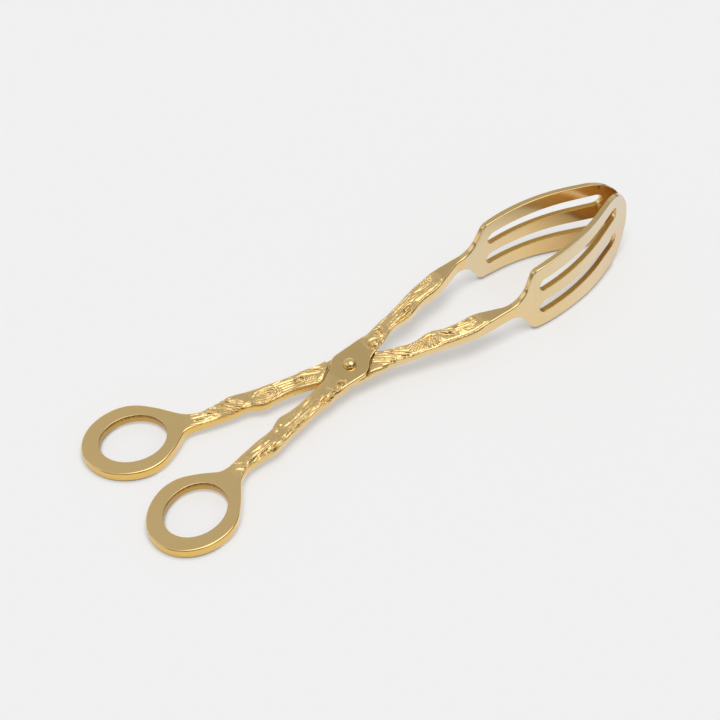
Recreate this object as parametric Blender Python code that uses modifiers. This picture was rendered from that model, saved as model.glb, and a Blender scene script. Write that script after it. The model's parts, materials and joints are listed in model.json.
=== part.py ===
"""Serving tongs: two cast arms that cross at a riveted half lap, each with a finger ring and a slotted paddle.

Each arm is drawn in two views. Its plan outline and its side outline are both extruded, and the arm is what they share.
Metres, +Z up. The tongs lie as they rest on a table, rings at -X and tips at +X, closed.
"""

import math

import bmesh
import bpy
from mathutils import Matrix, Vector

# Arms, in the plane square to the hinge axis
ARM_THICKNESS = 0.0044
EDGE_ROUND = 0.0006
PIVOT_TO_RING = 0.100
REAR_SPREAD = 13.84  # degrees between a closed rear shank and the long axis

# Finger rings: an oval hole, and a band that is wider behind it
RING_HOLE_LENGTH = 0.0301
RING_HOLE_WIDTH = 0.0253
RING_END_BAND = 0.0073
RING_SIDE_BAND = 0.0050

# Half lap and rivet
DISC_RADIUS = 0.0088
SHOULDER_ARC = (30, 80)  # degrees from the long axis between which the disc stands out of the inner edges
LAP_GAP = 0.0003
SHOULDER_GAP = 0.0003
OPENING_ROOM = 0.0008  # more at the sides of the lap, where the arms' outer edges pass as the tongs open
RIVET_RADIUS = 0.0020
RIVET_CLEARANCE = 0.00008
HEAD_RADIUS = 0.0030
HEAD_HEIGHT = 0.0026
TAIL_HEIGHT = 0.0010
HEAD_GAP = 0.0002

# Paddles: a plate that bends towards the middle, with two long drain slots
SHOULDER_X = 0.0882
PADDLE_LENGTH = 0.0732  # along the plate
PLATE_AT_SHOULDER = 0.0028
PLATE_AT_TIP = 0.0022
TOE_OUT = 3.2  # degrees, where the plate starts
BEND_LENGTH = 0.047
BEND_ANGLE = 25.5
TIP_TURN = 1.0
LEAN = 3.0  # degrees, top edges inwards
TIP_GAP = 0.0003
SHOULDER_TOP = 0.0182
SHOULDER_BOTTOM = 0.0175
FLARE_TOP = 0.0018
FLARE_BOTTOM = 0.0049
TOP_BULGE = 0.9  # share of the flare that half the length has
BOTTOM_BULGE = 0.32
TIP_ROUND = 0.0200
SLOT_HEIGHT = 0.0068
SLOT_START = 0.0030
SLOT_END_MARGIN = 0.0115
UPPER_SLOT_Z = (0.0072, 0.0092)  # middle of the slot at its two ends
LOWER_SLOT_Z = (-0.0064, -0.0066)
CORNER_ROUND = 0.0012  # of the square shoulders

# Neck between shank and paddle, seen from the side
NECK_TOP = 0.0043
NECK_BOTTOM = 0.0027
NECK_FILLET = 0.0102
NECK_END = 0.0130  # where the upper fillet starts, before the shoulder
NECK_BOTTOM_END = 0.0150  # where the lower one does
NECK_LEVEL = 0.004
TOP_SWEEP = 68  # degrees of fillet
BOTTOM_SWEEP = 62
# How much the front shank grows above and below its level faces on the way to the neck
FORE_TOP = ((0.026, 0.0), (0.036, 0.0005), (0.048, 0.0012), (0.060, 0.0019))
FORE_BOTTOM = ((0.046, 0.0), (0.060, 0.0003))

# Twig-like edges of an arm: distance from the hinge axis, then how far the outer and the inner edge lie off the line
REAR_EDGES = (
    (0.0960, 0.0173, 0.0173),
    (0.0910, 0.0153, 0.0154),
    (0.0850, 0.0111, 0.0109),
    (0.0812, 0.0079, 0.0073),
    (0.0785, 0.0058, 0.0051),
    (0.0750, 0.0036, 0.0044),
    (0.0700, 0.0023, 0.0045),
    (0.0650, 0.0027, 0.0045),
    (0.0600, 0.0037, 0.0044),
    (0.0555, 0.0049, 0.0042),
    (0.0510, 0.0050, 0.0036),
    (0.0475, 0.0047, 0.0037),
    (0.0440, 0.0045, 0.0048),
    (0.0405, 0.0046, 0.0051),
    (0.0360, 0.0047, 0.0040),
    (0.0300, 0.0047, 0.0033),
    (0.0245, 0.0050, 0.0031),
    (0.0195, 0.0058, 0.0034),
    (0.0150, 0.0058, 0.0036),
)
# Distance along the long axis, then the outer and the inner edge from that axis
FRONT_EDGES = (
    (0.0165, 0.0103, 0.0023),
    (0.0210, 0.0115, 0.0037),
    (0.0250, 0.0125, 0.0052),
    (0.0280, 0.0131, 0.0063),
    (0.0310, 0.0138, 0.0067),
    (0.0350, 0.0148, 0.0067),
    (0.0390, 0.0158, 0.0071),
    (0.0420, 0.0166, 0.0080),
    (0.0455, 0.0176, 0.0093),
    (0.0500, 0.0188, 0.0102),
    (0.0550, 0.0197, 0.0107),
    (0.0600, 0.0201, 0.0115),
    (0.0650, 0.0203, 0.0134),
    (0.0700, 0.0203, 0.0154),
    (0.0750, 0.0203, 0.0168),
)

# How finely round forms are cut
EDGE_STEP = 0.0025
PLATE_STEP = 0.0040
SIDE_STEP = 0.008
PLATE_STATIONS = 120
TURN_STEPS = 48
RING_STEPS = 40
DOME_STEPS = 8
SHORTEST_EDGE = 0.0004
ROUNDED_FROM = 35  # degrees between faces
SHARP_FROM = 25

REACH = 0.2  # beyond any edge of an arm
LAP_REACH = 0.030  # beyond the sides of the crossing arms


def clear_scene():
    for old in list(bpy.data.objects):
        bpy.data.objects.remove(old, do_unlink=True)


def collection(name, hidden=False):
    made = bpy.data.collections.new(name)
    made.hide_render = hidden
    bpy.context.scene.collection.children.link(made)
    return made


def metal(name, colour, roughness):
    made = bpy.data.materials.new(name)
    made.use_nodes = True
    shader = made.node_tree.nodes["Principled BSDF"]
    shader.inputs["Base Color"].default_value = (*colour, 1)
    shader.inputs["Metallic"].default_value = 1
    shader.inputs["Roughness"].default_value = roughness
    return made


def smooth_path(points, step=EDGE_STEP):
    """Points of a Catmull-Rom curve through the given ones, about a step apart."""
    points = [Vector(p) for p in points]
    path = []
    for i in range(len(points) - 1):
        a = points[max(i - 1, 0)]
        b, c = points[i], points[i + 1]
        d = points[min(i + 2, len(points) - 1)]
        count = max(1, round((c - b).length / step))
        for k in range(count):
            t = k / count
            path.append(
                0.5 * (2 * b + (c - a) * t + (2 * a - 5 * b + 4 * c - d) * t**2 + (3 * b - a - 3 * c + d) * t**3)
            )
    path.append(points[-1])
    return path


def arc(centre, radius_x, radius_y, start, end, steps):
    """Points of an elliptical arc, angles in degrees."""
    return [
        Vector(
            (
                centre[0] + radius_x * math.cos(math.radians(start + (end - start) * k / steps)),
                centre[1] + radius_y * math.sin(math.radians(start + (end - start) * k / steps)),
            )
        )
        for k in range(steps + 1)
    ]


def offset_path(path, distance):
    """The path moved to its left by the distance."""
    moved = []
    for i, point in enumerate(path):
        along = path[min(i + 1, len(path) - 1)] - path[max(i - 1, 0)]
        moved.append(point + Vector((-along.y, along.x)).normalized() * distance)
    return moved


def slab(name, outlines, low, high, side_view=False):
    """A closed mesh object: the outlines filled and extruded, up from the plan view or along Y from the side view."""
    curve = bpy.data.curves.new(name, "CURVE")
    curve.dimensions = "2D"
    curve.fill_mode = "BOTH"
    curve.extrude = (high - low) / 2
    for outline in outlines:
        spline = curve.splines.new("POLY")
        spline.points.add(len(outline) - 1)
        for point, place in zip(spline.points, outline):
            point.co = (place[0], place[1], 0, 1)
        spline.use_cyclic_u = True
    drawn = bpy.data.objects.new(name + "_outline", curve)
    bpy.context.scene.collection.objects.link(drawn)
    bpy.context.view_layer.update()
    graph = bpy.context.evaluated_depsgraph_get()
    mesh = bpy.data.meshes.new_from_object(drawn.evaluated_get(graph))
    bpy.data.objects.remove(drawn)
    made = bpy.data.objects.new(name, mesh)
    edit = bmesh.new()
    edit.from_mesh(mesh)
    bmesh.ops.remove_doubles(edit, verts=edit.verts, dist=0.000001)
    bmesh.ops.translate(edit, verts=edit.verts, vec=(0, 0, (high + low) / 2))
    if side_view:
        bmesh.ops.rotate(edit, verts=edit.verts, matrix=Matrix.Rotation(math.radians(90), 3, "X"))
    bmesh.ops.recalc_face_normals(edit, faces=edit.faces)
    edit.to_mesh(mesh)
    edit.free()
    return made


def cut(piece, operation, cutter):
    change = piece.modifiers.new(cutter.name, "BOOLEAN")
    change.operation = operation
    change.solver = "EXACT"
    change.object = cutter


def finished_mesh(piece):
    """A new mesh with the piece's modifiers applied."""
    bpy.context.view_layer.update()
    graph = bpy.context.evaluated_depsgraph_get()
    return bpy.data.meshes.new_from_object(piece.evaluated_get(graph))


def as_cutter(piece, home):
    home.objects.link(piece)
    piece.hide_render = True
    piece.display_type = "WIRE"
    return piece


def plate_line():
    """The outer face of a paddle in plan, from y = 0: (x, y, direction in radians) at even distances along it."""
    line = []
    x, y = SHOULDER_X, 0.0
    for k in range(PLATE_STATIONS + 1):
        along = PADDLE_LENGTH * k / PLATE_STATIONS
        bent = min(along / BEND_LENGTH, 1) * BEND_ANGLE
        straight = max(along - BEND_LENGTH, 0) / max(PADDLE_LENGTH - BEND_LENGTH, EDGE_STEP) * TIP_TURN
        turn = math.radians(TOE_OUT - bent - straight)
        line.append((x, y, turn))
        x += PADDLE_LENGTH / PLATE_STATIONS * math.cos(turn)
        y += PADDLE_LENGTH / PLATE_STATIONS * math.sin(turn)
    return line


def plate_point(along):
    """(x, y, direction) of the outer face at this distance along the plate."""
    return PLATE[min(max(round(along / PADDLE_LENGTH * PLATE_STATIONS), 0), PLATE_STATIONS)]


def plate_inner_point(along):
    x, y, turn = plate_point(along)
    thickness = PLATE_AT_SHOULDER + (PLATE_AT_TIP - PLATE_AT_SHOULDER) * along / PADDLE_LENGTH
    return Vector((x + thickness * math.sin(turn), y - thickness * math.cos(turn)))


def plate_faces():
    """The outer and the inner face of a paddle in plan, from shoulder to tip, where the two paddles meet."""
    steps = math.ceil(PADDLE_LENGTH / PLATE_STEP)
    places = [PADDLE_LENGTH * k / steps for k in range(steps + 1)]
    slope = math.tan(math.radians(LEAN))
    nearest = min(plate_inner_point(along).y - slope * height for along, height in tip_round())
    shift = Vector((0, TIP_GAP / 2 - nearest))
    outer = [Vector(plate_point(along)[:2]) + shift for along in places]
    return outer, [plate_inner_point(along) + shift for along in places]


def tip_round():
    """The half ellipse that ends a paddle in the side view: (distance along the plate, height)."""
    top, bottom = SHOULDER_TOP + FLARE_TOP, SHOULDER_BOTTOM + FLARE_BOTTOM
    start = PADDLE_LENGTH - TIP_ROUND
    return [
        (start + TIP_ROUND * p.x, (top - bottom) / 2 + (top + bottom) / 2 * p.y) for p in arc((0, 0), 1, 1, 90, -90, 18)
    ]


def rear_point(distance, offset):
    """A point beside the rear shank's line: a positive offset lies on the outer side."""
    spread = math.radians(REAR_SPREAD)
    return Vector(
        (
            -distance * math.cos(spread) + offset * math.sin(spread),
            -distance * math.sin(spread) - offset * math.cos(spread),
        )
    )


def plan_edges():
    """The upper arm's plan in four runs: its inner edge at the front, outer and inner rear edges, outer front edge."""
    front_inner = [Vector((x, inner)) for x, _, inner in reversed(FRONT_EDGES)]
    front_outer = [Vector((x, outer)) for x, outer, _ in FRONT_EDGES]
    rear_outer = [rear_point(d, outer) for d, outer, _ in reversed(REAR_EDGES)]
    rear_inner = [rear_point(d, -inner) for d, _, inner in REAR_EDGES]
    return front_inner, rear_outer, rear_inner, front_outer


def shoulder_runs(room=0.0):
    """Where the disc swells out of the inner edges: the front run and the rear run, with room beside the disc."""
    front_inner, _, rear_inner, _ = plan_edges()
    first, last = SHOULDER_ARC
    across = DISC_RADIUS + room
    front = smooth_path([front_inner[-1], *arc((0, 0), DISC_RADIUS, across, -first, -last, 5)])
    rear = smooth_path([rear_inner[-1], *arc((0, 0), DISC_RADIUS, across, 180 - first, 180 - last, 5)])
    return front, rear


def arm_outline():
    """The whole plan of the upper arm as one loop."""
    front_inner, rear_outer, rear_inner, front_outer = plan_edges()
    front_shoulder, rear_shoulder = shoulder_runs()
    plate_outer, plate_inner = plate_faces()
    ring_end = RING_HOLE_LENGTH / 2 + RING_END_BAND
    ring_side = RING_HOLE_WIDTH / 2 + RING_SIDE_BAND
    band = [
        rear_point(PIVOT_TO_RING + ring_end * p.x, ring_side * p.y)
        for p in arc((0, 0), 1, 1, 90, -90, RING_STEPS // 2)
    ]
    loop = smooth_path([*reversed(plate_inner), *front_inner])
    loop += front_shoulder[1:]
    loop += smooth_path([front_shoulder[-1], *rear_outer, *band[:1]])[1:]
    loop += band[1:]
    loop += smooth_path([band[-1], *rear_inner])[1:]
    loop += rear_shoulder[1:]
    loop += smooth_path([rear_shoulder[-1], *front_outer, *plate_outer[:1]])[1:]
    loop += plate_outer[1:]
    return loop


def finger_hole():
    return [
        rear_point(PIVOT_TO_RING + RING_HOLE_LENGTH / 2 * p.x, RING_HOLE_WIDTH / 2 * p.y)
        for p in arc((0, 0), 1, 1, 0, 360, RING_STEPS)[:-1]
    ]


def side_outline():
    """The side view: a level arm that grows through filleted shoulders into the paddle with its round end."""
    half = ARM_THICKNESS / 2
    neck = SHOULDER_X - NECK_END
    start = PADDLE_LENGTH - TIP_ROUND
    mid_top = SHOULDER_TOP + FLARE_TOP
    mid_bottom = SHOULDER_BOTTOM + FLARE_BOTTOM
    top = [(-REACH, half), *((x, half + more) for x, more in FORE_TOP)]
    fillet = arc((neck, NECK_TOP + NECK_FILLET), NECK_FILLET, NECK_FILLET, -90, TOP_SWEEP - 90, 6)
    top += [(neck - NECK_LEVEL, NECK_TOP), *fillet]
    top += smooth_path(
        [
            (SHOULDER_X - CORNER_ROUND / 2, SHOULDER_TOP - CORNER_ROUND),
            (SHOULDER_X + CORNER_ROUND, SHOULDER_TOP),
            (plate_point(start * 0.5)[0], SHOULDER_TOP + FLARE_TOP * TOP_BULGE),
            (plate_point(start)[0], mid_top),
        ],
        SIDE_STEP,
    )
    end = [(plate_point(along)[0], height) for along, height in tip_round()]
    bottom = smooth_path(
        [
            (plate_point(start)[0], -mid_bottom),
            (plate_point(start * 0.5)[0], -SHOULDER_BOTTOM - FLARE_BOTTOM * BOTTOM_BULGE),
            (SHOULDER_X + CORNER_ROUND, -SHOULDER_BOTTOM),
            (SHOULDER_X - CORNER_ROUND / 2, -SHOULDER_BOTTOM + CORNER_ROUND),
        ],
        SIDE_STEP,
    )
    lower_neck = (SHOULDER_X - NECK_BOTTOM_END, -NECK_BOTTOM - NECK_FILLET)
    bottom += arc(lower_neck, NECK_FILLET, NECK_FILLET, 90 - BOTTOM_SWEEP, 90, 6)
    bottom += [*((x, -half - more) for x, more in reversed(FORE_BOTTOM)), (-REACH, -half)]
    return [*top, *end[1:-1], *bottom]


def slot_outline(heights):
    """A long round-ended slot in the side view."""
    radius = SLOT_HEIGHT / 2
    first = SLOT_START + radius
    last = PADDLE_LENGTH - SLOT_END_MARGIN - radius
    loop = []
    for centre, height, start in ((last, heights[1], 90), (first, heights[0], 270)):
        for p in arc((centre, height), radius, radius, start, start - 180, 10):
            loop.append((plate_point(p.x)[0], p.y))
    return loop


def leaned(x, y, z, side):
    """The paddle's top leans inwards: the shift grows through the neck."""
    grown = min(max((x - (SHOULDER_X - NECK_END)) / NECK_END, 0), 1)
    return y - side * grown * math.tan(math.radians(LEAN)) * z


def lap_outline():
    """What is cut from one layer of an arm: the other arm's plan between its two shoulders, with room to open."""
    front_inner, _, rear_inner, _ = plan_edges()
    front, rear = shoulder_runs(OPENING_ROOM)
    rear_line = offset_path(smooth_path(rear_inner[-5:])[:-1] + rear, SHOULDER_GAP)
    front_line = offset_path(smooth_path(front_inner[-5:])[:-1] + front, SHOULDER_GAP)
    return [
        *rear_line,
        Vector((rear_line[-1].x, LAP_REACH)),
        Vector((front_line[0].x, LAP_REACH)),
        *front_line,
        Vector((front_line[-1].x, -LAP_REACH)),
        Vector((rear_line[0].x, -LAP_REACH)),
    ]


def mirrored(outline, side):
    return [(p[0], p[1] * side) for p in outline]


def build_arm(name, side, material, home, tools):
    """An arm whose paddle lies on the given side of the middle plane (+1 or -1): +1 is the one on top at the hinge."""
    plan = slab(name + "_plan", [mirrored(arm_outline(), side), mirrored(finger_hole(), side)], -REACH, REACH)
    slots = [slot_outline(heights) for heights in (UPPER_SLOT_Z, LOWER_SLOT_Z)]
    profile = slab(name + "_side", [side_outline(), *slots], -REACH, REACH, True)
    home.objects.link(plan)
    as_cutter(profile, tools)
    cut(plan, "INTERSECT", profile)
    mesh = finished_mesh(plan)
    bpy.data.objects.remove(plan)
    edit = bmesh.new()
    edit.from_mesh(mesh)
    bmesh.ops.remove_doubles(edit, verts=edit.verts, dist=SHORTEST_EDGE)
    bmesh.ops.dissolve_limit(edit, angle_limit=math.radians(0.5), verts=edit.verts, edges=edit.edges)
    for vertex in edit.verts:
        vertex.co.y = leaned(*vertex.co, side)
    bmesh.ops.recalc_face_normals(edit, faces=edit.faces)
    edit.to_mesh(mesh)
    edit.free()
    arm = bpy.data.objects.new(name, mesh)
    home.objects.link(arm)
    arm.data.materials.append(material)

    rounding = arm.modifiers.new("rounding", "BEVEL")
    rounding.width = EDGE_ROUND
    rounding.segments = 2
    rounding.limit_method = "ANGLE"
    rounding.angle_limit = math.radians(ROUNDED_FROM)

    layer = (-REACH, LAP_GAP / 2) if side > 0 else (-LAP_GAP / 2, REACH)
    pocket = as_cutter(slab(name + "_lap", [mirrored(lap_outline(), -side)], *layer), tools)
    cut(arm, "DIFFERENCE", pocket)
    hole_radius = RIVET_RADIUS + RIVET_CLEARANCE
    hole_outline = arc((0, 0), hole_radius, hole_radius, 0, 360, TURN_STEPS)[:-1]
    hole = as_cutter(slab(name + "_rivet_hole", [hole_outline], -REACH, REACH), tools)
    cut(arm, "DIFFERENCE", hole)
    return arm


def build_rivet(material, home):
    """A turned rivet: a round head above, a flatter formed tail below."""
    face = ARM_THICKNESS / 2 + HEAD_GAP
    profile = [*arc((0, face), HEAD_RADIUS, HEAD_HEIGHT, 90, 0, DOME_STEPS), Vector((RIVET_RADIUS, face))]
    profile += [Vector((RIVET_RADIUS, -face)), *arc((0, -face), HEAD_RADIUS, TAIL_HEIGHT, 0, -90, DOME_STEPS)]
    mesh = bpy.data.meshes.new("pivot_rivet")
    mesh.from_pydata([(p.x, 0, p.y) for p in profile], [(i, i + 1) for i in range(len(profile) - 1)], [])
    rivet = bpy.data.objects.new("pivot_rivet", mesh)
    home.objects.link(rivet)
    rivet.data.materials.append(material)
    turn = rivet.modifiers.new("turn", "SCREW")
    turn.steps = TURN_STEPS
    turn.render_steps = TURN_STEPS
    turn.use_merge_vertices = True
    turn.merge_threshold = 0.00001
    return rivet


def rest_on_table(pieces, root):
    """Tips the root about Y until ring ends and paddles reach one level, and puts the middle of the box over the origin."""
    points = [vertex.co for piece in pieces for vertex in piece.data.vertices]
    tip = 0.0
    for _ in range(20):
        turned = [Matrix.Rotation(tip, 3, "Y") @ p for p in points]
        rear = min((p for p in turned if p.x < 0), key=lambda p: p.z)
        front = min((p for p in turned if p.x > 0), key=lambda p: p.z)
        tip += math.atan2(front.z - rear.z, front.x - rear.x)
    turned = [Matrix.Rotation(tip, 3, "Y") @ p for p in points]
    low = Vector([min(p[k] for p in turned) for k in range(3)])
    high = Vector([max(p[k] for p in turned) for k in range(3)])
    root.rotation_euler = (0, tip, 0)
    root.location = (-(low.x + high.x) / 2, -(low.y + high.y) / 2, -low.z)


def main():
    clear_scene()
    tongs = collection("serving_tongs")
    tools = collection("cutters", hidden=True)
    arm_gold = metal("arm_gold", (0.80, 0.60, 0.30), 0.18)

    upper_arm = build_arm("upper_arm", 1, arm_gold, tongs, tools)
    lower_arm = build_arm("lower_arm", -1, arm_gold, tongs, tools)
    rivet = build_rivet(metal("rivet_gold", (0.80, 0.58, 0.27), 0.15), tongs)
    pieces = [upper_arm, lower_arm, rivet]

    for piece in pieces:
        mesh = finished_mesh(piece)
        piece.modifiers.clear()
        piece.data = mesh
        mesh.name = piece.name
        mesh.shade_smooth()
        mesh.set_sharp_from_angle(angle=math.radians(SHARP_FROM))

    hinge = bpy.data.objects.new("hinge_axis", None)
    tongs.objects.link(hinge)
    rest_on_table(pieces, hinge)
    for piece in [*pieces, *tools.objects]:
        piece.parent = hinge
    bpy.context.view_layer.update()
    print("hinge at", tuple(round(v, 5) for v in hinge.matrix_world.translation))
    print("hinge axis", tuple(round(v, 5) for v in hinge.matrix_world.col[2][:3]))


PLATE = plate_line()
main()
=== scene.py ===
"""Gold serving tongs: finger rings, twig-like shanks and slotted paddles, dressed over their CAD frame."""

import json
import math

import bmesh
import bpy
import numpy as np
from mathutils import Matrix, Vector


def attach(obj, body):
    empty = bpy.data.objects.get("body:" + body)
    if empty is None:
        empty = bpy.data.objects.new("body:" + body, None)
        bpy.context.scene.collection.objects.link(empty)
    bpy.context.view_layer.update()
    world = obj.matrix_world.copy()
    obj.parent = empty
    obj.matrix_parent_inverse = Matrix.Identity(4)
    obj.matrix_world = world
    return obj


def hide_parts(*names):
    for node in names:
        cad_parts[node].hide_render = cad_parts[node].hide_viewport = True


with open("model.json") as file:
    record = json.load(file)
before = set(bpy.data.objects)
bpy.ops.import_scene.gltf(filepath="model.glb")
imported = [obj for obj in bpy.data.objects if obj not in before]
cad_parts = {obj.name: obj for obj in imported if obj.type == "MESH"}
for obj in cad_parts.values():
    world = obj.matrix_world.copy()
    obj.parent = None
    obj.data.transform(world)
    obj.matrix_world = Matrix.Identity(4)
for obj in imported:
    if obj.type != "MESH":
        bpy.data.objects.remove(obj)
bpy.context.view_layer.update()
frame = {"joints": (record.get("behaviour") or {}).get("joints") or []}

# The tongs are shaped in the hinge's own frame, in millimetres: X to the tips, Z up along the rivet, and the
# rivet at zero. Then they are tipped and placed as the hinge lies in the CAD frame. An arm is drawn with its
# front shank at positive y, and its side, 1 for the upper and -1 for the lower arm, turns that y over.
MM = 0.001
FAR = 60.0  # past the tops and undersides of both arms
BEHIND = -200.0  # past the rings
HALF = 2.2  # half the thickness of rings, shanks and disc
DISC = 8.8
GRID = 0.45  # of the shanks' tops, before they are divided once more

# Finger rings, each on the line of its rear shank
SPREAD = math.radians(13.84)  # of that line from the middle of the tongs
RING_AT = 100.0
HOLE = (14.75, 12.25)  # half the length and half the width of the finger hole
HOLE_MARGIN = 0.4  # what lies this near to the hole is its wall
BACK_BAND = 7.6
SIDE_BAND = 6.5

# Paddles: a plate that bends in plan, thins towards its round tip and leans inwards
SHOULDER_X = 88.2
PADDLE = 73.2  # its length along the bend
PLATE_STEPS = 240
SHOULDER_TURN = 3.2  # degrees outwards at the shoulder
BEND = 25.5  # degrees inwards over the bent part
TIP_BEND = 1.0  # degrees inwards over the rest
BENT_PART = 47.0
PLATE_THICK = 2.8
PLATE_THINS = 0.6
FACETS = 80
FACET_SHIFT = 0.35  # keeps the lines between facets off the slots' ends
LEAN = math.tan(math.radians(3.0))
LEAN_GROWS = 13.0  # the length before the shoulder over which the lean grows
TIP_GAP = 0.15  # from the closed tips to the middle of the tongs
TIP_LENGTH = 20.0
TIP_MIDDLE = -1.2
TIP_HALF = 21.2  # half the height of the round tip

# Drain slots: their round ends, the metal before and after them, and the height of each slot at both ends
SLOT_R = 3.4
SLOT_START = 3.0
SLOT_END = 11.5
SLOTS = ((7.2, 9.2), (-6.4, -6.6))

# Side view of neck and paddle: hollows and shoulders as (x, height), then the paddle's edges as
# (distance along the plate, height)
NECK_R = 10.2
UPPER_NECK = (75.2, 14.5)
LOWER_NECK = (73.2, -12.9)
UPPER_SHOULDER = ((87.6, 17.0), (89.4, 18.2))
LOWER_SHOULDER = ((87.6, -16.3), (89.4, -17.5))
UPPER_EDGE = ((26.6, 19.8), (53.2, 20.0))
LOWER_EDGE = ((26.6, -19.1), (53.2, -22.4))
UNDERSIDE = ((60.0, -2.5), (46.0, -HALF))
PADDLE_HALF = 22.0  # half the paddle's height at its highest
NECK_X = 78.0
TO_TIPS = 75.0  # from the neck

# Twig-like outlines: distance from the rivet, then the outer and the inner edge off the rear shank's line
REAR = (
    (96.0, 18.2, 18.2), (91.0, 16.2, 16.3), (85.0, 12.0, 11.8), (81.2, 8.7, 8.1), (78.5, 6.3, 5.6),
    (75.0, 3.8, 4.5), (70.0, 2.3, 4.5), (65.0, 2.7, 4.5), (60.0, 3.7, 4.4), (55.5, 4.9, 4.2),
    (51.0, 5.0, 3.6), (47.5, 4.7, 3.7), (44.0, 4.5, 4.8), (40.5, 4.6, 5.1), (36.0, 4.7, 4.0),
    (30.0, 4.7, 3.3), (24.5, 5.0, 3.1), (19.5, 5.8, 3.4), (15.0, 5.8, 3.6),
)
# Distance along the tongs, then the outer and the inner edge from their middle
FRONT = (
    (16.5, 10.3, 2.3), (21.0, 11.5, 3.7), (25.0, 12.5, 5.2), (28.0, 13.1, 6.3), (31.0, 13.8, 6.7),
    (35.0, 14.8, 6.7), (39.0, 15.8, 7.1), (42.0, 16.6, 8.0), (45.5, 17.6, 9.3), (50.0, 18.8, 10.2),
    (55.0, 19.7, 10.7), (60.0, 20.1, 11.5), (65.0, 20.3, 13.4), (70.0, 20.3, 15.4), (75.0, 20.3, 16.8),
)
# How the top of the front shank rises towards the neck
RISE = ((26.0, 0.0), (36.0, 0.5), (48.0, 1.2), (60.0, 1.9), (71.0, 2.1))
# The near edge of every shank overhangs its wall. The upper arm's front shank has two lips: (x, width, reach)
OVERHANG = 0.6
LIPS = ((19.0, 6.0, 1.5), (33.5, 5.0, 0.6))
LIPS_START = (9.5, 13.5)
# For the upper arm (1) and the lower arm (-1): where the rear dome, the front dome and the front bark begin
# and where they are full, then where domes and bark begin to fade and are gone, on both arms
STARTS = {1: ((9.5, 15.0), (11.0, 16.0), (11.0, 13.5)), -1: ((6.0, 10.0), (6.0, 10.0), (5.0, 8.0))}
REAR_DOME_END = (70.0, 77.0)
FRONT_DOME_END = (54.0, 62.0)
REAR_BARK_START = (7.0, 9.5)
REAR_BARK_END = (73.0, 77.0)
BARK_END = (61.5, 64.0)
SHANK_ENDS = (80.0, 66.0)  # of the rear and the front shank
# The grid reaches from the first to the second distance along the rear and the front shank
GRID_REAR = (4.0, 79.0)
GRID_FRONT = (4.0, 64.0)

# Half lap and rivet
LAP_ROOM = 0.8  # for the round of the other arm's disc
NEAR_LAP = 15.0  # from the rivet, as far as the lap's walls reach
LAP_REACH = 30.0  # past both edges of the arm
REAR_RUN_END = -6.6  # x at which the lap leaves the disc's round behind the rivet
FACE_GAP = 0.15  # from either half of the lap to the plane between them
LOWER_DISC_GAP = 0.05
UPPER_DISC_GAP = 0.6  # so wide that it shows as a dark line
RIVET_HOLE_R = 2.08
RIVET_R = 2.0
HEAD_R = 3.0
HEAD_HEIGHT = 2.6
TAIL_HEIGHT = 1.0
SEAT = 2.4  # height of the head's underside

# Rounding of the sharp edges, and the shares of it that are left on crisp ones and taken off the thin paddles
ROUNDING = 0.85
CRISP = 0.35
THIN = 0.58
HAIR = 0.003  # the widest crack that a cut leaves

# Tones of the gold plate: two of its own, then painted reflection, painted interreflection and painted shade
YELLOW_GOLD = (0.82, 0.575, 0.225)
LIGHT_GOLD = (0.89, 0.655, 0.305)
# painted reflection of the pale floor on the paddles
FLOOR_REFLECTION_GOLD = (0.78, 0.65, 0.44)
# painted shade in the bark's recesses
RECESS_SHADE_GOLD = (0.44, 0.27, 0.08)
# painted shade between the paddles' tips, and painted reflected shadow low on their outer side
TIP_SHADE_GOLD = (0.60, 0.34, 0.09)
# painted interreflection: a deeper gold on the walls of rings and rear shanks
WALL_BOUNCE_GOLD = (0.84, 0.535, 0.125)
# the sawn walls' darker tone is painted shade in the finger holes and slots
SAWN_AND_SHADED_GOLD = (0.58, 0.35, 0.09)
# painted dark shade at the top of the finger holes' walls and in the lap gap
PAINTED_DARK_SHADE = (0.12, 0.05, 0.008)

# Studio: the level of the light all round, how much the floor glows by itself, and the room as
# (brightness, azimuth, height, inner and outer angle) of soft-edged round panels, painted in this order
AMBIENT = 0.36
FLOOR_GLOW = 0.40
CONTACT = 0.0018  # how near something on the floor dims that glow
BACKDROP = (0.88, 0.88, 0.88, 1)
PALE_FLOOR = (0.86, 0.86, 0.86, 1)
TABLE_END = (0.12, 0.115, 0.105, 1)  # what the gold mirrors of the floor further off
LAMP_TONE = (1.0, 0.985, 0.955)
ROOM = (
    (0.58, 0, 90, 0, 0),
    (0.90, 55, 0, 14, 28),
    (0.48, 46, 45, 6, 15),
    (0.98, 156, 33, 12, 25),
    (0.25, 165, 3, 12, 20),
    (0.72, 20, 84, 8, 28),
    (2.10, -62, 68, 14, 34),
    (0.15, -114, 32, 16, 28),
    (0.07, -62, 10, 12, 24),
    (0.10, -25, 8, 12, 22),
    (0.12, -160, 8, 12, 24),
)
# The camera's own directions and its place, in the hinge's frame and in metres
CAMERA_RIGHT = Vector((0.801628, -0.597029, -0.030797))
CAMERA_UP = Vector((0.469813, 0.597286, 0.650019))
CAMERA_BACK = Vector((-0.369686, -0.535543, 0.759293))
CAMERA_AT = (-0.334197, -0.492133, 0.698931)
LENS = 105.01
SENSOR = 36


def clear_selection():
    for thing in bpy.context.selected_objects:
        thing.select_set(False)


def only(thing):
    clear_selection()
    thing.select_set(True)
    bpy.context.view_layer.objects.active = thing


def apply_modifiers(thing):
    only(thing)
    for change in list(thing.modifiers):
        bpy.ops.object.modifier_apply(modifier=change.name)


def read_all(parts, what, width=1, kind=float):
    """One property of all vertices, corners or faces, as an array."""
    values = np.empty(len(parts) * width, kind)
    parts.foreach_get(what, values)
    return values.reshape(-1, width) if width > 1 else values


def store(mesh, name, domain, values):
    """Keeps a value for every point, corner or face, for the gold's finish to read."""
    mesh.attributes.new(name, "FLOAT", domain).data.foreach_set("value", values.astype(np.float32))


# Outlines


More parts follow.
